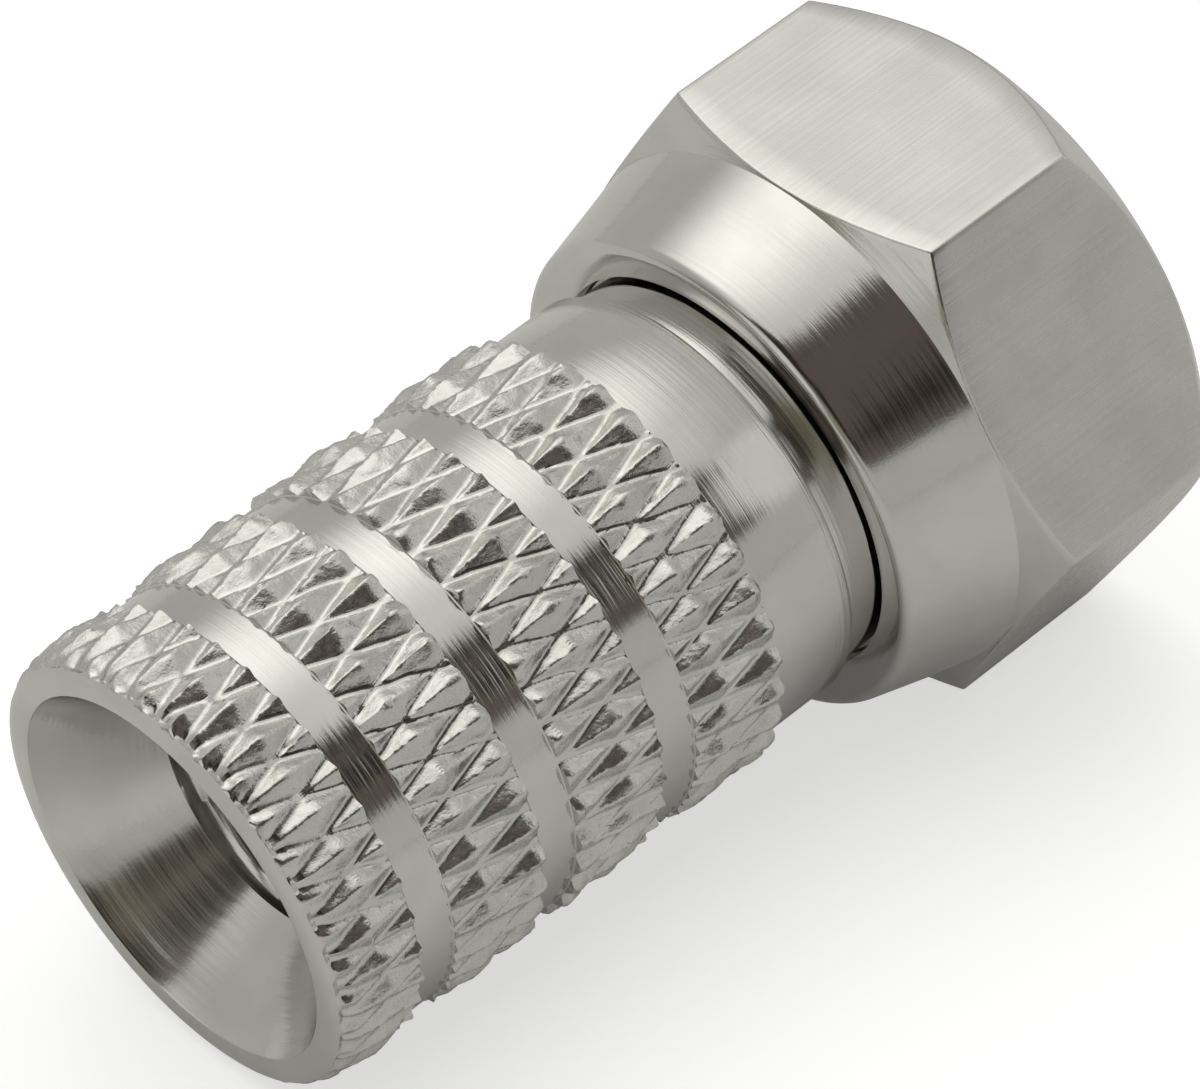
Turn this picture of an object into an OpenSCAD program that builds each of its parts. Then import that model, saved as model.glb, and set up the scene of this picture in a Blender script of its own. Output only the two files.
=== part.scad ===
// Twist-on coaxial plug with a captive hexagonal coupling nut, lying on one flat of the nut.
// Every profile is drawn as [radius, distance from the cable mouth] and turned about the axis.

/* [Sleeve] */
// Radius over the knurling
knurl_r = 4.5; // [4.4:0.05:4.9]
// Length of the knurled part, from the cable mouth
knurl_l = 10.4; // [10:0.1:11.5]
// Rounding of the lip around the cable mouth
lip_round = 0.5; // [0.3:0.05:0.6]
// Width of the flat part of that lip
lip_w = 0.3; // [0.2:0.05:0.4]
// Step down from the knurling to the plain collar behind the nut
collar_step = 0.28; // [0.23:0.01:0.4]
// Length of the plain collar
collar_l = 1.9; // [1.5:0.1:2.5]
// Step down from the collar to the neck that runs into the nut
neck_step = 0.22; // [0.15:0.01:0.3]
// Length of the neck
neck_l = 1.2; // [1:0.05:1.6]
// Small bevel on turned edges
edge_bevel = 0.08; // [0.04:0.01:0.1]

/* [Knurling] */
// Grooves in each of the two crossing sets
knurl_count = 36; // [30:1:48]
// Angle between the grooves and the axis
knurl_helix = 19; // [15:0.5:24]
// Depth of the grooves
knurl_depth = 0.2; // [0.15:0.01:0.2]
// Height of the sharp crests that the turned outside takes off
crest_trim = 0.06; // [0.03:0.01:0.1]
// Distance from the mouth to the first ring of groove crossings
first_crossing = 1.05; // [0.9:0.05:1.1]
// Angle of one of those crossings, from the underside
crossing_turn = 0.6; // [0:0.1:10]
// Plain rings that split the knurling into bands
ring_count = 3; // [2:1:3]
// Width of one plain ring
ring_w = 0.8; // [0.6:0.05:1]
// Width of one knurled band, without the one at the mouth
band_w = 2.05; // [1.8:0.05:2.15]
// Depth of the plain rings
ring_depth = 0.22; // [0.21:0.01:0.25]

/* [Cable bore] */
// Length of the tapered mouth
mouth_l = 2; // [1.7:0.05:2.4]
// Radius of the bore that grips the cable jacket
jacket_r = 2.4; // [2.3:0.05:2.6]

/* [Ferrule] */
// Radius of the shank
shank_r = 3.4; // [3.3:0.05:3.5]
// Length of the shank
shank_l = 3.6; // [3:0.1:4]
// Radius of the flange that keeps the nut on
flange_r = 4.3; // [4.1:0.02:4.34]
// Thickness of the flange
flange_t = 0.8; // [0.6:0.05:0.9]
// Radius of the hole for the cable's core
core_r = 1.9; // [1.7:0.05:2.1]
// Lead-in bevel at the cable end of that hole
core_lead = 0.4; // [0.2:0.05:0.5]

/* [Coupling nut] */
// Width across the flats
hex_af = 11; // [10.8:0.1:12]
// Length of the nut
nut_l = 7.05; // [6.7:0.05:8.5]
// Length of the tapered shoulder behind the hexagon
shoulder_l = 2.23; // [2:0.01:2.5]
// Radius of the shoulder at its rear end, before its edge is rounded
shoulder_r = 4.93; // [4.8:0.01:5]
// Rounding of that edge
shoulder_round = 0.25; // [0.15:0.05:0.3]
// Step between the shoulder and the flats
shoulder_step = 0.04; // [0.02:0.01:0.1]
// Slope of the rear corner bevel, from square to the axis
rear_slope = 32; // [25:1:40]
// Slope of the front corner bevel, from square to the axis
front_slope = 46; // [35:1:50]
// Radius of the front face's outer edge
nose_r = 5.42; // [5.2:0.01:5.45]
// How far the rear face is dished
dish = 0.17; // [0.1:0.01:0.2]
// Depth of the recess that the neck runs into
neck_recess = 0.6; // [0.5:0.01:0.7]
// Thickness of the inner lip that turns on the ferrule
lip_t = 0.9; // [0.7:0.05:1.2]
// Radius of the thread's crests
thread_minor_r = 4.37; // [4.36:0.01:4.43]
// Radius of the relief between the lip and the thread
relief_r = 4.82; // [4.77:0.01:4.85]
// Length of that relief
relief_l = 1.1; // [1:0.05:1.3]
// Bevel at the mouth of the thread
thread_lead = 0.45; // [0.3:0.05:0.5]

/* [Fits] */
// Radial clearance between the neck and the nut
neck_gap = 0.1; // [0.05:0.01:0.1]
// Radial clearance between the ferrule and the nut's inner lip
running_gap = 0.06; // [0.03:0.01:0.1]
// End clearance on each side of the inner lip
end_gap = 0.05; // [0.03:0.01:0.1]
// Radial interference of the ferrule in the sleeve
press = 0.01; // [0:0.005:0.02]

/* [Hidden] */
$fn = 96;
nickel = [0.78, 0.77, 0.73];
cut = 0.6; // how far cutters reach past the metal
arc_steps = 8;

// Stations along the axis, from the cable mouth
collar_x = knurl_l;
neck_x = collar_x + collar_l;
sleeve_end = neck_x + neck_l;
lip_x = sleeve_end + end_gap;
flange_x = lip_x + lip_t + end_gap;
seat_x = flange_x - shank_l;
nut_x = lip_x - neck_recess;
nut_end = nut_x + nut_l;
relief_x = lip_x + lip_t;
thread_x = relief_x + relief_l;

// Radii that follow from the ones above
valley_r = knurl_r - knurl_depth;
ring_r = knurl_r - ring_depth;
collar_r = knurl_r - collar_step;
neck_r = collar_r - neck_step;
mouth_r = knurl_r - lip_round - lip_w;
bar_r = (valley_r + ring_r) / 2;
stock_inner_r = (bar_r + mouth_r) / 2;
hex_corner_r = hex_af / 2 / cos(30);
hex_x = nut_x + shoulder_l;
hex_r = hex_af / 2 - shoulder_step;
collar_gap_r = neck_r + neck_gap;

// Lattice of the knurling: crossings and crests take turns along the axis and around it
half_step = 180 / knurl_count;
station_step = knurl_r * PI / knurl_count / tan(knurl_helix);
stations_before = ceil(first_crossing / station_step);
first_station = first_crossing - stations_before * station_step;
stations = ceil((knurl_l - first_station) / station_step);
around = 2 * knurl_count;

// Points of an arc about [cx, cy], from angle a to angle b
function arc(cx, cy, r, a, b) =
    [for (i = [0:arc_steps]) let (t = a + (b - a) * i / arc_steps) [cx + r * cos(t), cy + r * sin(t)]];

// Distance from the mouth to the near edge of plain ring i, counted from the nut's end
function ring_x(i) = knurl_l - (i + 1) * (band_w + ring_w);

// Turns what is drawn about the axis and lays it along X, with the lower flat at height 0
module lay_down() {
    translate([-nut_end / 2, 0, hex_af / 2])
        rotate([0, 90, 0])
            children();
}

module turned(points) {
    rotate_extrude()
        polygon(points);
}

// Bar with crossing helical grooves: a four-sided pyramid stands between every four crossings
module knurled_bar() {
    function turn(i) = crossing_turn + i * half_step;
    function height(i, j) = (i + j + stations_before) % 2 == 0 ? valley_r : knurl_r + crest_trim;
    function at(r, i, x) = [r * cos(turn(i)), r * sin(turn(i)), x];
    function id(i, j) = j * around + i % around;
    x_end = first_station + stations * station_step;
    inner = (stations + 1) * around;
    points = concat(
        [for (j = [0:stations]) for (i = [0:around - 1]) at(height(i, j), i, first_station + j * station_step)],
        [for (x = [first_station, x_end]) for (i = [0:around - 1]) at(stock_inner_r, i, x)]
    );
    sides = [
        for (j = [0:stations - 1]) for (i = [0:around - 1]) each (i + j + stations_before) % 2 == 0
            ? [[id(i, j), id(i + 1, j + 1), id(i + 1, j)], [id(i, j), id(i, j + 1), id(i + 1, j + 1)]]
            : [[id(i, j), id(i, j + 1), id(i + 1, j)], [id(i + 1, j), id(i, j + 1), id(i + 1, j + 1)]]
    ];
    bore = [
        for (i = [0:around - 1]) let (a = inner + i, b = inner + (i + 1) % around)
            each [[a, b, b + around], [a, b + around, a + around]]
    ];
    ends = [
        for (i = [0:around - 1]) let (a = inner + i, b = inner + (i + 1) % around)
            each [
                [id(i, 0), id(i + 1, 0), b], [id(i, 0), b, a],
                [id(i, stations), b + around, id(i + 1, stations)], [id(i, stations), a + around, b + around]
            ]
    ];
    polyhedron(points = points, faces = concat(sides, bore, ends));
}

// All that the lathe takes off the outside of the knurled bar
module outside_cut() {
    edge = edge_bevel;
    far = knurl_r + cut;
    start = first_station - cut;
    turned(concat(
        [
            [mouth_r, start], [far, start], [far, sleeve_end + cut], [neck_r - edge, sleeve_end + cut],
            [neck_r - edge, sleeve_end], [neck_r, sleeve_end - edge], [neck_r, neck_x],
            [collar_r - edge, neck_x], [collar_r, neck_x - edge], [collar_r, collar_x]
        ],
        [[knurl_r - edge, collar_x], [knurl_r, collar_x - edge]],
        [
            for (i = [0:ring_count - 1]) let (x = ring_x(i))
                each [
                    [knurl_r, x + ring_w + edge], [knurl_r - edge, x + ring_w], [ring_r, x + ring_w],
                    [ring_r, x], [knurl_r - edge, x], [knurl_r, x - edge]
                ]
        ],
        arc(knurl_r - lip_round, lip_round, lip_round, 0, -90),
        [[mouth_r, 0]]
    ));
}

// Tapered mouth, jacket bore and seat of the ferrule
module sleeve_bore() {
    edge = edge_bevel;
    turned([
        [0, -cut], [mouth_r + edge, -cut], [mouth_r + edge, 0], [mouth_r, edge], [jacket_r, mouth_l],
        [jacket_r, seat_x], [shank_r, seat_x], [shank_r, sleeve_end + cut], [0, sleeve_end + cut]
    ]);
}

module body_sleeve() {
    color(nickel)
        lay_down()
            difference() {
                union() {
                    cylinder(r = bar_r, h = sleeve_end);
                    knurled_bar();
                }
                outside_cut();
                sleeve_bore();
            }
}

// Flanged bush pressed into the sleeve through the nut
module front_ferrule() {
    edge = edge_bevel;
    face_x = flange_x + flange_t;
    fit_r = shank_r + press;
    color(nickel)
        lay_down()
            turned([
                [core_r + core_lead, seat_x], [fit_r - edge, seat_x], [fit_r, seat_x + edge], [fit_r, flange_x],
                [flange_r - edge, flange_x], [flange_r, flange_x + edge], [flange_r, face_x - edge],
                [flange_r - edge, face_x], [core_r + edge, face_x], [core_r, face_x - edge],
                [core_r, seat_x + core_lead]
            ]);
}

// Outline of the nut before the hexagon is milled
module nut_blank() {
    rise = atan((hex_r - shoulder_r) / shoulder_l);
    far = hex_corner_r + cut;
    turned(concat(
        [[0, nut_x + dish], [collar_gap_r, nut_x + dish]],
        arc(shoulder_r - shoulder_round, nut_x + shoulder_round, shoulder_round, -90, -rise),
        [
            [hex_r, hex_x], [far, hex_x + (far - hex_r) * tan(rear_slope)],
            [far, nut_end - (far - nose_r) * tan(front_slope)], [nose_r, nut_end], [0, nut_end]
        ]
    ));
}

// Recess for the neck, inner lip, relief and thread bore
module nut_bore() {
    lip_r = shank_r + press + running_gap;
    turned([
        [0, nut_x - cut], [collar_gap_r, nut_x - cut], [collar_gap_r, lip_x], [lip_r, lip_x], [lip_r, relief_x],
        [relief_r, relief_x], [relief_r, thread_x - (relief_r - thread_minor_r)], [thread_minor_r, thread_x],
        [thread_minor_r, nut_end - thread_lead], [thread_minor_r + thread_lead, nut_end],
        [thread_minor_r + thread_lead, nut_end + cut], [0, nut_end + cut]
    ]);
}

module coupling_nut() {
    color(nickel)
        lay_down()
            difference() {
                intersection() {
                    nut_blank();
                    rotate([0, 0, 30])
                        translate([0, 0, nut_x - cut])
                            cylinder(r = hex_corner_r, h = nut_l + 2 * cut, $fn = 6);
                }
                nut_bore();
            }
}

body_sleeve();
front_ferrule();
coupling_nut();
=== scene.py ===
import math
import bpy
import numpy as np
from mathutils import Matrix, Vector, noise


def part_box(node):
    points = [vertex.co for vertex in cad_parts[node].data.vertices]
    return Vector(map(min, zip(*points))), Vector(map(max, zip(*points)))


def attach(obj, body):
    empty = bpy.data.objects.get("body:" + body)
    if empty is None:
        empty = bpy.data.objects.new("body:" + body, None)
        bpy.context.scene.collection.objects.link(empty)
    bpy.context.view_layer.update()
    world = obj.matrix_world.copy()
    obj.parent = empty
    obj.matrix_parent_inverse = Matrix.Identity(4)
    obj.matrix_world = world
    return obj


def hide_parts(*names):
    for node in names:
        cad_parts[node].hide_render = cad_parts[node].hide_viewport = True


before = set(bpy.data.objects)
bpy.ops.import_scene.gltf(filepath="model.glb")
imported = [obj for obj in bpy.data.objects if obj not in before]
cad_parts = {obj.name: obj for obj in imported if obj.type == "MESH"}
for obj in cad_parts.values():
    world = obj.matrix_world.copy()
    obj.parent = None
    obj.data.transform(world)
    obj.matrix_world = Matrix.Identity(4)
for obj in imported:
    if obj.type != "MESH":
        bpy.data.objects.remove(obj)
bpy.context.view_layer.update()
mm = 0.001
mergeGap = 0.0005 * mm

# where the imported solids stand: the axis height comes from the nut, the cable mouth from the sleeve
sleeveLow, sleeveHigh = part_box("body_sleeve")
nutLow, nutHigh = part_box("coupling_nut")
ferruleLow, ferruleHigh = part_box("front_ferrule")
axisZ = (nutLow.z + nutHigh.z) / 2
mouthX = sleeveLow.x
knurlR = (sleeveHigh.y - sleeveLow.y) / 2 / mm
sleeveEnd = (sleeveHigh.x - mouthX) / mm
nutRear = (nutLow.x - mouthX) / mm
nutFront = (nutHigh.x - mouthX) / mm
hexHalf = (nutHigh.z - nutLow.z) / 2 / mm
ferruleRear = (ferruleLow.x - mouthX) / mm
ferruleFront = (ferruleHigh.x - mouthX) / mm
flangeR = (ferruleHigh.y - ferruleLow.y) / 2 / mm


def deselectAll():
    if bpy.context.object and bpy.context.object.mode != "OBJECT":
        bpy.ops.object.mode_set(mode="OBJECT")
    bpy.ops.object.select_all(action="DESELECT")


def activate(piece):
    deselectAll()
    bpy.context.view_layer.objects.active = piece
    piece.select_set(True)


# x runs from the cable mouth along the axis and r out from it, both in mm
def place(x, r):
    return Vector((mouthX + x * mm, 0, axisZ + r * mm))


# extrudes a point along the outline of (x, r) corners and spins it once round the axis
def turnedPiece(name, profile, steps):
    deselectAll()
    bpy.ops.mesh.primitive_plane_add(size=mm, location=(0, 0, 0))
    piece = bpy.context.object
    piece.name = piece.data.name = name
    bpy.ops.object.mode_set(mode="EDIT")
    bpy.ops.mesh.select_mode(type="VERT")
    bpy.ops.mesh.select_all(action="SELECT")
    bpy.ops.mesh.merge(type="CENTER")
    bpy.ops.transform.translate(value=place(*profile[0]))
    for (x0, r0), (x1, r1) in zip(profile, profile[1:]):
        step = ((x1 - x0) * mm, 0, (r1 - r0) * mm)
        bpy.ops.mesh.extrude_vertices_move(TRANSFORM_OT_translate={"value": step})
    bpy.ops.mesh.select_all(action="SELECT")
    bpy.ops.mesh.remove_doubles(threshold=mergeGap)
    bpy.ops.mesh.select_all(action="SELECT")
    bpy.ops.mesh.spin(steps=steps, angle=2 * math.pi, center=(0, 0, axisZ), axis=(1, 0, 0))
    bpy.ops.mesh.select_all(action="SELECT")
    bpy.ops.mesh.remove_doubles(threshold=mergeGap)
    bpy.ops.object.mode_set(mode="OBJECT")
    print(name, "turned:", len(piece.data.polygons), "faces")
    return piece


# every point as x, r and its turn round the axis: 0 degrees is up, 90 is towards -Y
def readPoints(piece):
    co = np.empty(len(piece.data.vertices) * 3)
    piece.data.vertices.foreach_get("co", co)
    co = co.reshape(-1, 3)
    y, z = co[:, 1] / mm, (co[:, 2] - axisZ) / mm
    return (co[:, 0] - mouthX) / mm, np.hypot(y, z), np.degrees(np.arctan2(-y, z))


def writePoints(piece, x, r, turn):
    a = np.radians(turn)
    co = np.stack([mouthX + x * mm, -r * np.sin(a) * mm, axisZ + r * np.cos(a) * mm], 1)
    piece.data.vertices.foreach_set("co", co.ravel())
    piece.data.update()


def selectFaces(piece, test):
    activate(piece)
    bpy.ops.object.mode_set(mode="EDIT")
    bpy.ops.mesh.select_mode(type="FACE")
    bpy.ops.mesh.select_all(action="DESELECT")
    bpy.ops.object.mode_set(mode="OBJECT")
    picked = 0
    for face in piece.data.polygons:
        face.select = bool(test(face))
        picked += face.select
    bpy.ops.object.mode_set(mode="EDIT")
    return picked


def selectEdges(piece, test):
    points = piece.data.vertices
    for edge in piece.data.edges:
        edge.select = bool(test(edge))
    for point in points:
        point.select = False
    for edge in piece.data.edges:
        if edge.select:
            for v in edge.vertices:
                points[v].select = True


def joinPieces(first, second):
    deselectAll()
    second.select_set(True)
    first.select_set(True)
    bpy.context.view_layer.objects.active = first
    bpy.ops.object.join()


# closes the gap between the two open rims that stand at x
def bridgeLoops(piece, x, tolerance=0.001):
    activate(piece)
    bpy.ops.object.mode_set(mode="EDIT")
    bpy.ops.mesh.select_mode(type="EDGE")
    bpy.ops.mesh.select_all(action="DESELECT")
    bpy.ops.mesh.select_non_manifold(extend=False)
    bpy.ops.object.mode_set(mode="OBJECT")
    points = piece.data.vertices

    def atRim(edge):
        return edge.select and all(
            abs((points[v].co.x - mouthX) / mm - x) < tolerance for v in edge.vertices)

    selectEdges(piece, atRim)
    bpy.ops.object.mode_set(mode="EDIT")
    bpy.ops.mesh.bridge_edge_loops()
    bpy.ops.object.mode_set(mode="OBJECT")


# faces that meet at less than the angle, in degrees, are shaded as one surface
def finishPiece(piece, angle):
    activate(piece)
    bpy.ops.object.mode_set(mode="EDIT")
    bpy.ops.mesh.select_all(action="SELECT")
    bpy.ops.mesh.normals_make_consistent(inside=False)
    bpy.ops.object.mode_set(mode="OBJECT")
    bpy.ops.object.shade_smooth_by_angle(angle=math.radians(angle))
    deselectAll()


# the camera's place is in mm, its three directions are unit vectors
camera = {
    "place": (-51.8, -65.8, 89.8),
    "right": (0.7232, -0.6850, -0.0888),
    "up": (0.5337, 0.4727, 0.7014),
    "forward": (0.4384, 0.5547, -0.7074),
    "lens": 201.2,
    "sensor": 36,
    "clip": (0.002, 10),
}


def makeCamera():
    data = bpy.data.cameras.new("studioCamera")
    data.lens = camera["lens"]
    data.sensor_width = camera["sensor"]
    data.clip_start, data.clip_end = camera["clip"]
    view = bpy.data.objects.new("studioCamera", data)
    bpy.context.scene.collection.objects.link(view)
    right, up, back = Vector(camera["right"]), Vector(camera["up"]), -Vector(camera["forward"])
    turn = Matrix((right, up, back)).transposed().to_4x4()
    view.matrix_world = Matrix.Translation(Vector(camera["place"]) * mm) @ turn
    bpy.context.scene.camera = view


makeCamera()
bpy.context.scene.view_settings.view_transform = "Standard"

studio = {
    "floorSize": 3.0,
    "floorColour": (0.50, 0.50, 0.49),
    "floorSeen": 0.62,            # added where the camera sees the floor, so that it reads as white paper
    "floorMirrored": 0.10,        # added where the metal mirrors it
    "floorGap": 0.02,             # mm between the floor and what rests on it
    "restPoint": (5.2, 0.0),      # where the nut's rear edge stands on the floor
    "restSlope": 0.0676,          # the floor climbs to the mouth, so that the plug rests on nut and mouth
    "lampHeight": 0.40,
    "lampSize": (0.60, 0.60),
    "lampPlace": (0.06, 0.10),
    "lampGlow": 0.9,
    "wall": (0.50, 0.50, 0.49),
    "ceiling": (0.76, 0.76, 0.74),
    "ceilingBlend": (0.60, 0.90),
    "boxMiddle": (0.20, 0.45, 0.87),
    "boxColour": (1.42, 1.41, 1.35),
    "boxBlend": (0.80, 0.985),
    "boxFalloff": 1.8,
    "boxEdge": (0.49, 0.845, 0.211),   # the side of this slanting plane where the softbox ends
    "boxEdgeBlend": (0.03, -0.04),
    "room": (0.115, 0.095, 0.082),
    "roomDeep": (0.030, 0.026, 0.024),
    "roomAbove": (0.27, 0.34),
    "blotchScale": 3.0,
    "blotchDetail": 3.0,
    "blotchBlend": (0.46, 0.54),
    "leftWall": (0.26, 0.25, 0.19),
    "leftBlend": (-0.62, -0.90),
}
panels = (
    {"colour": (0.72, 0.72, 0.70), "towards": (-0.93, 0.05, 0.37), "blend": (0.93, 0.97)},
    {"colour": (0.74, 0.74, 0.72), "towards": (0.70, -0.54, 0.47), "blend": (0.95, 0.98)},
)


def newMaterial(name):
    material = bpy.data.materials.new(name)
    material.use_nodes = True
    material.node_tree.nodes.clear()
    return material, material.node_tree.nodes, material.node_tree.links


def mathNode(nodes, links, operation, *values):
    node = nodes.new("ShaderNodeMath")
    node.operation = operation
    for socket, value in zip(node.inputs, values):
        if isinstance(value, (int, float)):
            socket.default_value = value
        else:
            links.new(value, socket)
    return node.outputs[0]


def makeFloor():
    deselectAll()
    bpy.ops.mesh.primitive_plane_add(size=studio["floorSize"], location=(0, 0, 0))
    floor = bpy.context.object
    floor.name = "studioFloor"
    slope = math.atan(studio["restSlope"])
    x0, z0 = studio["restPoint"]
    floor.rotation_euler = (0, slope, 0)
    floor.location = (x0 * mm, 0, z0 * mm - studio["floorGap"] * mm)
    bpy.ops.object.transform_apply(location=True, rotation=True, scale=True)
    material, nodes, links = newMaterial("studioFloor")
    out = nodes.new("ShaderNodeOutputMaterial")
    pale = nodes.new("ShaderNodeBsdfDiffuse")
    pale.inputs["Color"].default_value = (*studio["floorColour"], 1)
    glow = nodes.new("ShaderNodeEmission")
    path = nodes.new("ShaderNodeLightPath")
    seen = mathNode(nodes, links, "MULTIPLY", path.outputs["Is Camera Ray"], studio["floorSeen"])
    mirrored = mathNode(nodes, links, "MULTIPLY", path.outputs["Is Glossy Ray"], studio["floorMirrored"])
    both = nodes.new("ShaderNodeAddShader")
    links.new(mathNode(nodes, links, "ADD", seen, mirrored), glow.inputs["Strength"])
    links.new(pale.outputs[0], both.inputs[0])
    links.new(glow.outputs[0], both.inputs[1])
    links.new(both.outputs[0], out.inputs["Surface"])
    floor.data.materials.append(material)
    deselectAll()


def makeLamp():
    data = bpy.data.lights.new("softLamp", "AREA")
    data.shape = "RECTANGLE"
    data.size, data.size_y = studio["lampSize"]
    data.energy = studio["lampGlow"] * math.pi * data.size * data.size_y
    lamp = bpy.data.objects.new("softLamp", data)
    bpy.context.scene.collection.objects.link(lamp)
    lamp.location = (*studio["lampPlace"], studio["lampHeight"])
    lamp.visible_glossy = False     # the metal mirrors the softbox painted in the world instead


def mapRange(nodes, links, source, low, high, to0=0.0, to1=1.0, smooth=True):
    node = nodes.new("ShaderNodeMapRange")
    if smooth:
        node.interpolation_type = "SMOOTHSTEP"
    node.inputs["From Min"].default_value = low
    node.inputs["From Max"].default_value = high
    node.inputs["To Min"].default_value = to0
    node.inputs["To Max"].default_value = to1
    links.new(source, node.inputs["Value"])
    return node.outputs[0]


def mixColour(nodes, links, factor, a, b):
    node = nodes.new("ShaderNodeMix")
    node.data_type = "RGBA"
    links.new(factor, node.inputs["Factor"])
    for socket, value in ((node.inputs[6], a), (node.inputs[7], b)):
        if isinstance(value, tuple):
            socket.default_value = (*value, 1)
        else:
            links.new(value, socket)
    return node.outputs[2]


def makeWorld():
    world = bpy.data.worlds.new("studio")
    bpy.context.scene.world = world
    world.use_nodes = True
    nodes, links = world.node_tree.nodes, world.node_tree.links
    nodes.clear()
    out = nodes.new("ShaderNodeOutputWorld")
    coords = nodes.new("ShaderNodeTexCoord")
    axes = nodes.new("ShaderNodeSeparateXYZ")
    links.new(coords.outputs["Generated"], axes.inputs[0])
    x, _, z = axes.outputs

    def along(direction):
        dot = nodes.new("ShaderNodeVectorMath")
        dot.operation = "DOT_PRODUCT"
        links.new(coords.outputs["Generated"], dot.inputs[0])
        dot.inputs[1].default_value = Vector(direction).normalized()
        return dot.outputs["Value"]

    def blend(factor, a, b):
        return mixColour(nodes, links, factor, a, b)

    ceiling = mapRange(nodes, links, z, *studio["ceilingBlend"])
    box = mapRange(nodes, links, along(studio["boxMiddle"]), *studio["boxBlend"], smooth=False)
    box = mathNode(nodes, links, "POWER", box, studio["boxFalloff"])
    light = blend(ceiling, studio["wall"], studio["ceiling"])
    light = blend(box, light, studio["boxColour"])
    # the dark room in front of the softbox, with something darker still standing in it
    blotch = nodes.new("ShaderNodeTexNoise")
    blotch.inputs["Scale"].default_value = studio["blotchScale"]
    blotch.inputs["Detail"].default_value = studio["blotchDetail"]
    links.new(coords.outputs["Generated"], blotch.inputs["Vector"])
    deep = mapRange(nodes, links, blotch.outputs["Fac"], *studio["blotchBlend"])
    room = blend(deep, studio["room"], studio["roomDeep"])
    front = mapRange(nodes, links, along(studio["boxEdge"]), *studio["boxEdgeBlend"])
    above = mapRange(nodes, links, z, *studio["roomAbove"])
    light = blend(mathNode(nodes, links, "MULTIPLY", front, above), light, room)
    # an olive wall on the left, then the two pale panels
    light = blend(mapRange(nodes, links, x, *studio["leftBlend"]), light, studio["leftWall"])
    for panel in panels:
        spot = mapRange(nodes, links, along(panel["towards"]), *panel["blend"])
        light = blend(spot, light, panel["colour"])
    path = nodes.new("ShaderNodeLightPath")
    light = blend(path.outputs["Is Camera Ray"], light, (1.0, 1.0, 1.0))
    source = nodes.new("ShaderNodeBackground")
    links.new(light, source.inputs["Color"])
    links.new(source.outputs[0], out.inputs["Surface"])


makeFloor()
makeLamp()
makeWorld()
print("studio ready")

nickel = {
    "pale": (0.69, 0.68, 0.65),
    "dull": (0.63, 0.62, 0.585),
    "cloud": (0.7, 0.7, 0.7),
    "cloudDetail": 4,
    "cloudBlend": (0.3, 0.7),
    "lineDetail": 3,
    "lineRough": 0.6,
    "lineBlend": (0.25, 0.75),
    "grainDetail": 2,
}
# lines and grain in cycles per mm along x, y and z, their depths in mm
finishes = {
    "turnedNickel": {
        "lines": (12, 0.25, 0.25), "lineDepth": 0.005,
        "grain": (20, 20, 20), "grainDepth": 0.0006, "roughness": (0.10, 0.17)},
    "knurledNickel": {
        "lines": (7, 7, 7), "lineDepth": 0.014,
        "grain": (22, 22, 22), "grainDepth": 0.004, "roughness": (0.20, 0.34)},
    "drawnNickel": {
        "lines": (0.12, 9, 9), "lineDepth": 0.005,
        "grain": (25, 25, 25), "grainDepth": 0.0006, "roughness": (0.22, 0.34)},
    "boreNickel": {
        "lines": (9, 0.3, 0.3), "lineDepth": 0.004,
        "grain": (15, 15, 15), "grainDepth": 0.0008, "roughness": (0.14, 0.22)},
}


def objectNoise(nodes, links, scale, detail, rough=0.5):
    coords = nodes.new("ShaderNodeTexCoord")
    mapping = nodes.new("ShaderNodeMapping")
    mapping.inputs["Scale"].default_value = tuple(s / mm for s in scale)
    tex = nodes.new("ShaderNodeTexNoise")
    tex.inputs["Scale"].default_value = 1.0
    tex.inputs["Detail"].default_value = detail
    tex.inputs["Roughness"].default_value = rough
    links.new(coords.outputs["Object"], mapping.inputs["Vector"])
    links.new(mapping.outputs[0], tex.inputs["Vector"])
    return tex.outputs["Fac"]


def addBump(nodes, links, height, depth, normal=None):
    bump = nodes.new("ShaderNodeBump")
    bump.inputs["Strength"].default_value = 1.0
    bump.inputs["Distance"].default_value = depth * mm
    links.new(height, bump.inputs["Height"])
    if normal is not None:
        links.new(normal, bump.inputs["Normal"])
    return bump.outputs[0]


def nickelMaterial(name, lines, lineDepth, grain, grainDepth, roughness):
    material, nodes, links = newMaterial(name)
    out = nodes.new("ShaderNodeOutputMaterial")
    metal = nodes.new("ShaderNodeBsdfPrincipled")
    metal.inputs["Metallic"].default_value = 1.0
    links.new(metal.outputs[0], out.inputs["Surface"])
    n = nickel
    cloud = objectNoise(nodes, links, n["cloud"], n["cloudDetail"])
    cloud = mapRange(nodes, links, cloud, *n["cloudBlend"])
    links.new(mixColour(nodes, links, cloud, n["dull"], n["pale"]), metal.inputs["Base Color"])
    streak = objectNoise(nodes, links, lines, n["lineDetail"], n["lineRough"])
    gloss = mapRange(nodes, links, streak, *n["lineBlend"], *roughness, smooth=False)
    links.new(gloss, metal.inputs["Roughness"])
    fine = objectNoise(nodes, links, grain, n["grainDetail"])
    normal = addBump(nodes, links, streak, lineDepth)
    normal = addBump(nodes, links, fine, grainDepth, normal)
    links.new(normal, metal.inputs["Normal"])
    return material


turnedNickel, knurledNickel, drawnNickel, boreNickel = (
    nickelMaterial(name, **finish) for name, finish in finishes.items())
print("nickel finishes ready")

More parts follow.
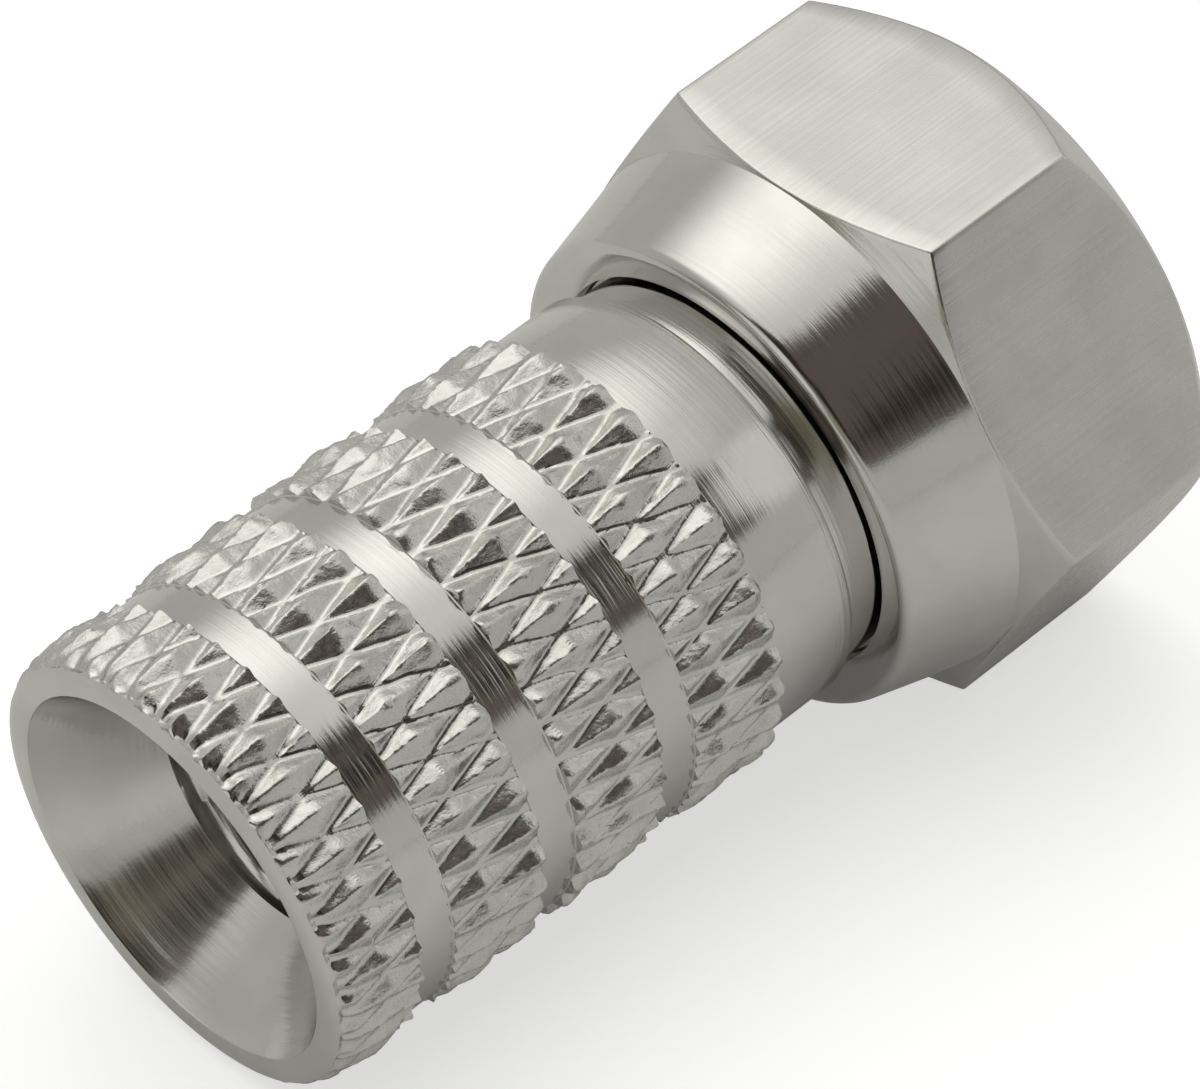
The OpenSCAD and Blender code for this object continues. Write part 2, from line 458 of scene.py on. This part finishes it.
# the sleeve's values are in mm, measured from the cable mouth
sleeve = {
    "lipRound": 0.5,
    "lipFlat": 0.3,
    "bevel": 0.08,
    "collarX": 10.4,
    "collarR": 4.22,
    "neckX": 12.3,
    "neckR": 4.0,
    "ringR": 4.28,
    "rings": ((1.85, 2.65), (4.70, 5.50), (7.55, 8.35)),
    "fillet": 0.02,
    "stepFillet": 0.03,
    "mouthL": 2.0,
    "mouthRows": 5,
    "jacketR": 2.4,
    "seatStep": 0.88,        # the ferrule's flange stands this much proud of its seat in the sleeve
    "columns": 576,
    "boreColumns": 144,
    "smoothAngle": 40,
}
knurl = {
    "count": 36,
    "firstCrossing": 1.05,
    "firstTurn": 0.6,
    "stationStep": 1.1405,
    "helixTurn": 4.384,      # degrees around for each millimetre along
    "depth": 0.24,
    "grooveFlat": 0.055,     # half the flat of a groove's bottom, as a share of the spacing
    "crestShift": 0.43,      # where the crest stands between two grooves
    "rowsPerStation": 8,
    "rowRoom": 0.35,         # the least gap, in rows, that is left at the ends of a band
    "wander": (0.03, 0.07),  # how far the two families of grooves stray, in shares of their spacing
    "wanderScale": 1.3,
    "skew": (0.10, 0.14),    # how unevenly the crests lean
    "crestLow": 0.74,        # the lowest share of the depth at which a crest is flattened
    "crestSpread": 0.22,
    "crestRise": 0.1,
    "ragged": 0.008,         # three sizes of burr, in mm
    "raggedScale": 7.5,
    "lumps": 0.024,
    "lumpsScale": 3.4,
    "torn": 0.020,
    "tornScale": 5.0,
    "tornMean": 0.2,
    "burrFrom": 0.4,         # burrs reach their full size at this share of the depth
    "settle": 0.02,          # everything is lifted by this much, never past the bar
    "lipStart": 0.09,        # the knurl fades in over the rounding of the lip
    "lipFade": 0.05,
    "lipEnd": 1,             # up to here it follows the lip, from here the bar
    "lipShare": 0.85,
    "seed": 7,
}
jacketThread = {"pitch": 0.65, "depth": 0.30, "end": 7.4, "rows": 7, "land": 0.12, "flank": 0.7,
                "fadeIn": 0.05, "fadeOut": 0.6}


def knurlRows(x0, x1):
    step = knurl["stationStep"] / knurl["rowsPerStation"]
    room = knurl["rowRoom"] * step
    first = math.ceil((x0 + room - knurl["firstCrossing"]) / step)
    last = math.floor((x1 - room - knurl["firstCrossing"]) / step)
    return [knurl["firstCrossing"] + n * step for n in range(first, last + 1)]


def sleeveOutline():
    s = sleeve
    lipR = knurlR - s["lipRound"]
    outline = [(0, lipR - 0.1)]
    for k in range(0, 10):
        a = math.radians(10 * k)
        outline.append((s["lipRound"] * (1 - math.cos(a)), lipR + s["lipRound"] * math.sin(a)))
    x = s["lipRound"]
    b, fillet, stepFillet = s["bevel"], s["fillet"], s["stepFillet"]
    for ring0, ring1 in (*s["rings"], (s["collarX"], None)):
        outline += [(row, knurlR) for row in knurlRows(x, ring0 - b)]
        outline += [(ring0 - b, knurlR), (ring0 - b / 2, knurlR - b * 0.4), (ring0, knurlR - b)]
        if ring1:
            outline += [(ring0, s["ringR"] + fillet), (ring0 + fillet, s["ringR"])]
            outline += [(ring1 - fillet, s["ringR"]), (ring1, s["ringR"] + fillet)]
            outline += [(ring1, knurlR - b), (ring1 + b / 2, knurlR - b * 0.4), (ring1 + b, knurlR)]
            x = ring1 + b
    collarX, collarR, neckX, neckR = s["collarX"], s["collarR"], s["neckX"], s["neckR"]
    outline += [(collarX, collarR + stepFillet), (collarX + stepFillet, collarR)]
    outline += [(neckX - b, collarR), (neckX - b * 0.3, collarR - b * 0.3), (neckX, collarR - b)]
    outline += [(neckX, neckR + stepFillet), (neckX + stepFillet, neckR)]
    outline += [(sleeveEnd - b, neckR), (sleeveEnd, neckR - b)]
    return outline


def boreOutline():
    s, t = sleeve, jacketThread
    mouthR = knurlR - s["lipRound"] - s["lipFlat"]
    slope = (mouthR - s["jacketR"]) / s["mouthL"]
    seatR = flangeR - s["seatStep"]
    outline = [(sleeveEnd, seatR + 0.06), (sleeveEnd - 0.06, seatR), (ferruleRear, seatR)]
    outline += [(ferruleRear, s["jacketR"])]
    rows = int((t["end"] - s["mouthL"]) / (t["pitch"] / t["rows"]))
    for k in range(rows + 1):
        outline.append((t["end"] + (s["mouthL"] - t["end"]) * k / rows, s["jacketR"]))
    for k in range(1, s["mouthRows"]):
        x = s["mouthL"] * (1 - k / s["mouthRows"])
        outline.append((x, s["jacketR"] + slope * (s["mouthL"] - x)))
    outline += [(0.06, mouthR), (0.02, mouthR + 0.02), (0, mouthR + 0.07)]
    return outline


# how far the diamond knurl is cut below the bar at each point: two families of grooves leave
# a field of pyramids with uneven crests and burrs
def knurlDepth(x, turn):
    k = knurl
    depth = np.empty(len(x))
    perTurn = 360 / k["count"]
    cells = np.random.default_rng(k["seed"]).random((k["count"], k["count"], 4))
    up, flat = k["crestShift"], k["grooveFlat"]
    for i, (along, angle) in enumerate(zip(x, turn)):
        a = math.radians(angle)
        p = Vector((along, knurlR * math.sin(a), knurlR * math.cos(a)))
        lean = k["helixTurn"] * (along - k["firstCrossing"])
        strayU = k["wander"][0] * noise.noise(p * k["wanderScale"])
        strayV = k["wander"][1] * noise.noise(p * k["wanderScale"] + Vector((31, 7, 3)))
        u = (angle - k["firstTurn"] + lean) / perTurn + strayU
        v = (angle - k["firstTurn"] - lean) / perTurn + strayV
        cellU, cellV = math.floor(u), math.floor(v)
        u, v = u - cellU, v - cellV
        high, skewU, skewV = cells[cellU % k["count"], cellV % k["count"]][:3]
        upU = up + k["skew"][0] * (skewU - 0.5)
        upV = up + k["skew"][1] * (skewV - 0.5)
        h = min((u - flat) / (upU - flat), (1 - u - flat) / (1 - upU - flat))
        h = min(h, (v - flat) / (upV - flat), (1 - v - flat) / (1 - upV - flat))
        h = max(h, 0)
        crest = k["crestLow"] + k["crestSpread"] * high
        if h > crest:
            h = crest + (h - crest) * k["crestRise"]
        ragged = noise.noise(p * k["raggedScale"])
        lumps = noise.noise(p * k["lumpsScale"] + Vector((5, 9, 2)))
        torn = abs(noise.noise(p * k["tornScale"] + Vector((1, 4, 17)))) - k["tornMean"]
        rise = min(1, h / k["burrFrom"])
        h = h * k["depth"] + k["ragged"] * ragged + (k["lumps"] * lumps + k["torn"] * torn) * rise
        depth[i] = k["depth"] - h
    return np.maximum(depth - k["settle"], 0)


def jacketThreadR(x, turn):
    t = jacketThread
    phase = (x - sleeve["mouthL"]) / t["pitch"] - turn / 360
    saw = 1 - np.abs(2 * (phase - np.floor(phase)) - 1)
    cut = np.clip((saw - t["land"]) / t["flank"], 0, 1)
    fade = np.clip((x - sleeve["mouthL"]) / t["fadeIn"], 0, 1) * np.clip((t["end"] - x) / t["fadeOut"], 0, 1)
    return sleeve["jacketR"] + t["depth"] * cut * fade


def makeSleeve():
    s, k = sleeve, knurl
    outside = turnedPiece("sleeve", sleeveOutline(), s["columns"])
    bore = turnedPiece("sleeveBore", boreOutline(), s["boreColumns"])
    x, r, turn = readPoints(outside)

    def onBand(face):
        return all(r[v] > knurlR - 0.03 and x[v] < s["collarX"] for v in face.vertices)

    poked = selectFaces(outside, onBand)
    bpy.ops.mesh.poke()
    bpy.ops.object.mode_set(mode="OBJECT")
    print("knurled faces:", poked)
    # the knurl runs from the lip's rounding to the collar, and leaves the three rings plain
    x, r, turn = readPoints(outside)
    near = (r > s["ringR"] - 0.02) & (x < s["collarX"] + 0.001) & (x > k["lipStart"])
    near &= (r > s["ringR"] + 0.03) | (x < s["lipRound"])
    sunk = knurlDepth(x[near], turn[near])
    worn = k["lipShare"] * np.clip((x[near] - k["lipStart"]) / k["lipFade"], 0, 1)
    onLip = r[near] - sunk * worn
    r[near] = np.where(x[near] > k["lipEnd"], np.minimum(r[near], knurlR - sunk), onLip)
    writePoints(outside, x, r, turn)
    x, r, turn = readPoints(bore)
    inside = (np.abs(r - s["jacketR"]) < 0.01) & (x > s["mouthL"] + 0.01)
    r[inside] = np.maximum(r[inside], jacketThreadR(x[inside], turn[inside]))
    writePoints(bore, x, r, turn)
    joinPieces(outside, bore)
    bridgeLoops(outside, 0)
    bridgeLoops(outside, sleeveEnd)
    finishPiece(outside, s["smoothAngle"])
    mesh = outside.data
    for material in (turnedNickel, knurledNickel, boreNickel):
        mesh.materials.append(material)
    x, r, turn = readPoints(outside)
    for face in mesh.polygons:
        rs = [r[v] for v in face.vertices]
        xs = [x[v] for v in face.vertices]
        proud = min(rs) > s["ringR"] - 0.01 and max(rs) > s["ringR"] + 0.03
        if proud and min(xs) < s["collarX"] - 0.001:
            face.material_index = 1
        elif max(rs) < knurlR - s["lipRound"] - s["lipFlat"] + 0.08:
            face.material_index = 2
    return outside


sleevePiece = makeSleeve()
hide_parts("body_sleeve")
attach(sleevePiece, "sleeve")
print("sleeve ready")

# the nut's values are in mm, measured from the cable mouth, and its slopes in degrees
nut = {
    "hexX": 15.18,
    "hexR": 5.46,
    "shoulderR": 4.93,
    "shoulderRound": 0.25,
    "dish": 0.17,
    "recessR": 4.1,
    "lipX": 13.55,
    "lipR": 3.47,
    "reliefX": 14.45,
    "reliefR": 4.82,
    "threadX": 15.55,
    "minorR": 4.37,
    "threadDepth": 0.37,
    "pitch": 0.794,
    "lead": 0.45,
    "noseR": 5.42,
    "rearSlope": 32,
    "frontSlope": 46,
    "columns": 360,
    "edge": 0.035,
    "flatRows": 8,
    "threadRows": 60,
    "fillet": 0.03,
    "lipBevel": 0.06,
    "smoothAngle": 30,
}


# the shoulder: a rounding at the rear, then a slope up to the hexagon
def shoulderOutline():
    n = nut
    rise = math.atan((n["hexR"] - n["shoulderR"]) / (n["hexX"] - nutRear))
    outline = [(nutRear + n["dish"], n["recessR"])]
    size = n["shoulderRound"]
    centreX, centreR = nutRear + size, n["shoulderR"] - size
    for k in range(7):
        a = -math.pi / 2 + (math.pi / 2 - rise) * k / 6
        outline.append((centreX + size * math.sin(a), centreR + size * math.cos(a)))
    x0, r0 = centreX + size * math.sin(-rise), centreR + size * math.cos(rise)
    for k in (0.2, 0.5, 0.8, 1):
        outline.append((x0 + (n["hexX"] - x0) * k, r0 + (n["hexR"] - r0) * k))
    return outline


# for each turn round the axis: degrees from the middle of a flat, the hexagon's radius,
# and where the rear and the front bevel start
def hexShape(turn):
    flat = np.degrees(np.arccos(np.clip(np.cos(np.radians(turn * 6)), -1, 1))) / 6
    hexR = hexHalf / np.cos(np.radians(flat))
    rearX = nut["hexX"] + (hexR - nut["hexR"]) * math.tan(math.radians(nut["rearSlope"]))
    frontX = nutFront - (hexR - nut["noseR"]) * math.tan(math.radians(nut["frontSlope"]))
    return flat, hexR, rearX, frontX


def makeNut():
    n = nut
    outline = shoulderOutline()
    corner = hexHalf / math.cos(math.radians(30))
    rows, bevelRows = n["flatRows"], 3
    # rows of the hexagon: each is moved out to the flat or along a bevel afterwards
    hexStart = len(outline)
    outline += [(n["hexX"] + 0.05 + 0.02 * k, n["hexR"] + 0.1) for k in range(bevelRows)]
    flatLength = nutFront - n["hexX"] - 1.9
    outline += [(n["hexX"] + 0.9 + flatLength * k / rows, corner) for k in range(rows + 1)]
    outline += [(nutFront - 0.6 + 0.02 * k, n["noseR"] + 0.1) for k in range(bevelRows)]
    hexEnd = len(outline)
    m, lead, fillet, lipBevel = n["minorR"], n["lead"], n["fillet"], n["lipBevel"]
    outline += [(nutFront - fillet, n["noseR"]), (nutFront, n["noseR"] - fillet)]
    outline += [(nutFront, m + lead + fillet), (nutFront - fillet, m + lead)]
    for k in range(n["threadRows"] + 1):
        x = nutFront - 0.06 + (n["threadX"] - nutFront + 0.06) * k / n["threadRows"]
        outline.append((x, max(m, m + lead - (nutFront - x))))
    outline += [(n["threadX"] - (n["reliefR"] - m), n["reliefR"]), (n["reliefX"], n["reliefR"])]
    outline += [(n["reliefX"], n["lipR"] + lipBevel), (n["reliefX"] - lipBevel, n["lipR"])]
    outline += [(n["lipX"] + lipBevel, n["lipR"]), (n["lipX"], n["lipR"] + lipBevel)]
    outline += [(n["lipX"], n["recessR"] - fillet), (n["lipX"] - fillet, n["recessR"]), outline[0]]
    piece = turnedPiece("couplingNut", outline, n["columns"])
    x, r, turn = readPoints(piece)
    flat, hexR, rearX, frontX = hexShape(turn)
    for index in range(hexStart, hexEnd):
        row = (np.abs(x - outline[index][0]) < 0.002) & (r > n["hexR"] + 0.02)
        step = index - hexStart
        if step < bevelRows:
            k = (step + 1) / (bevelRows + 1)
            x[row] = n["hexX"] + (rearX[row] - n["hexX"]) * k
            r[row] = n["hexR"] + (hexR[row] - n["hexR"]) * k
        elif step < bevelRows + 1 + rows:
            k = (step - bevelRows) / rows
            x[row] = rearX[row] + (frontX[row] - rearX[row]) * k
            r[row] = hexR[row]
        else:
            k = (step - bevelRows - rows) / (bevelRows + 1)
            x[row] = frontX[row] + (nutFront - frontX[row]) * k
            r[row] = hexR[row] + (n["noseR"] - hexR[row]) * k
    # the thread
    phase = x / n["pitch"] - turn / 360
    saw = np.abs(2 * (phase - np.floor(phase)) - 1)
    cut = n["threadDepth"] * np.clip((saw - 0.14) / 0.72, 0, 1)
    inside = (r > m - 0.01) & (r < m + lead + 0.01)
    inside &= (x > n["threadX"] - 0.01) & (x < nutFront - 0.02)
    r[inside] = np.maximum(r[inside], m + cut[inside])
    writePoints(piece, x, r, turn)
    # rounded edges of the hexagon
    activate(piece)
    mesh = piece.data
    x, r, turn = readPoints(piece)
    flat, hexR, rearX, frontX = hexShape(turn)
    onHex = np.abs(r - hexR) < 0.002
    atEnd = onHex & ((np.abs(x - rearX) < 0.003) | (np.abs(x - frontX) < 0.003))
    atCorner = onHex & (np.abs(flat - 30) < 0.1)
    bpy.ops.object.mode_set(mode="EDIT")
    bpy.ops.mesh.select_mode(type="EDGE")
    bpy.ops.mesh.select_all(action="DESELECT")
    bpy.ops.object.mode_set(mode="OBJECT")

    def onEdge(edge):
        a, b = edge.vertices
        return (atEnd[a] and atEnd[b]) or (atCorner[a] and atCorner[b])

    selectEdges(piece, onEdge)
    bpy.ops.object.mode_set(mode="EDIT")
    bpy.ops.mesh.bevel(offset=n["edge"] * mm, offset_type="OFFSET", segments=2, clamp_overlap=False)
    bpy.ops.object.mode_set(mode="OBJECT")
    finishPiece(piece, n["smoothAngle"])
    for material in (turnedNickel, drawnNickel, boreNickel):
        mesh.materials.append(material)
    x, r, turn = readPoints(piece)
    for face in mesh.polygons:
        rs = [r[v] for v in face.vertices]
        xs = [x[v] for v in face.vertices]
        inBore = min(xs) > n["lipX"] - 0.5 and min(xs) < nutFront - 0.05
        if min(rs) > n["hexR"] + 0.02 and abs(face.normal.x) < 0.2:
            face.material_index = 1
        elif max(rs) < n["reliefR"] + 0.02 and inBore:
            face.material_index = 2
    return piece


nutPiece = makeNut()
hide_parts("coupling_nut")
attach(nutPiece, "nut")
print("nut ready")

ferrule = {
    "coreR": 1.9,
    "lead": 0.4,
    "flare": 0.5,
    "coreEnd": 2,
    "flangeT": 0.8,
    "flangeStep": 0.89,      # how far the flange stands out from the shank
    "fillet": 0.02,
    "edge": 0.08,
    "columns": 192,
    "smoothAngle": 30,
}


def makeFerrule():
    f = ferrule
    e, fillet, coreR = f["edge"], f["fillet"], f["coreR"]
    soft = e * 0.3
    rear, front = ferruleRear, ferruleFront
    shank = flangeR - f["flangeStep"]
    flange = front - f["flangeT"]
    outline = [
        (rear, coreR + f["lead"]), (rear, shank - e), (rear + e, shank),
        (flange - fillet, shank), (flange, shank + fillet),
        (flange, flangeR - e), (flange + soft, flangeR - soft), (flange + e, flangeR),
        (front - e, flangeR), (front - soft, flangeR - soft), (front, flangeR - e),
        (front, coreR + f["flare"]), (front, coreR + e),
        (front - soft, coreR + soft), (front - e, coreR),
        (front - f["coreEnd"], coreR), (rear + f["lead"], coreR), (rear, coreR + f["lead"]),
    ]
    piece = turnedPiece("ferrule", outline, f["columns"])
    finishPiece(piece, f["smoothAngle"])
    piece.data.materials.append(turnedNickel)
    return piece


ferrulePiece = makeFerrule()
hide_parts("front_ferrule")
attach(ferrulePiece, "sleeve")

bpy.context.view_layer.update()
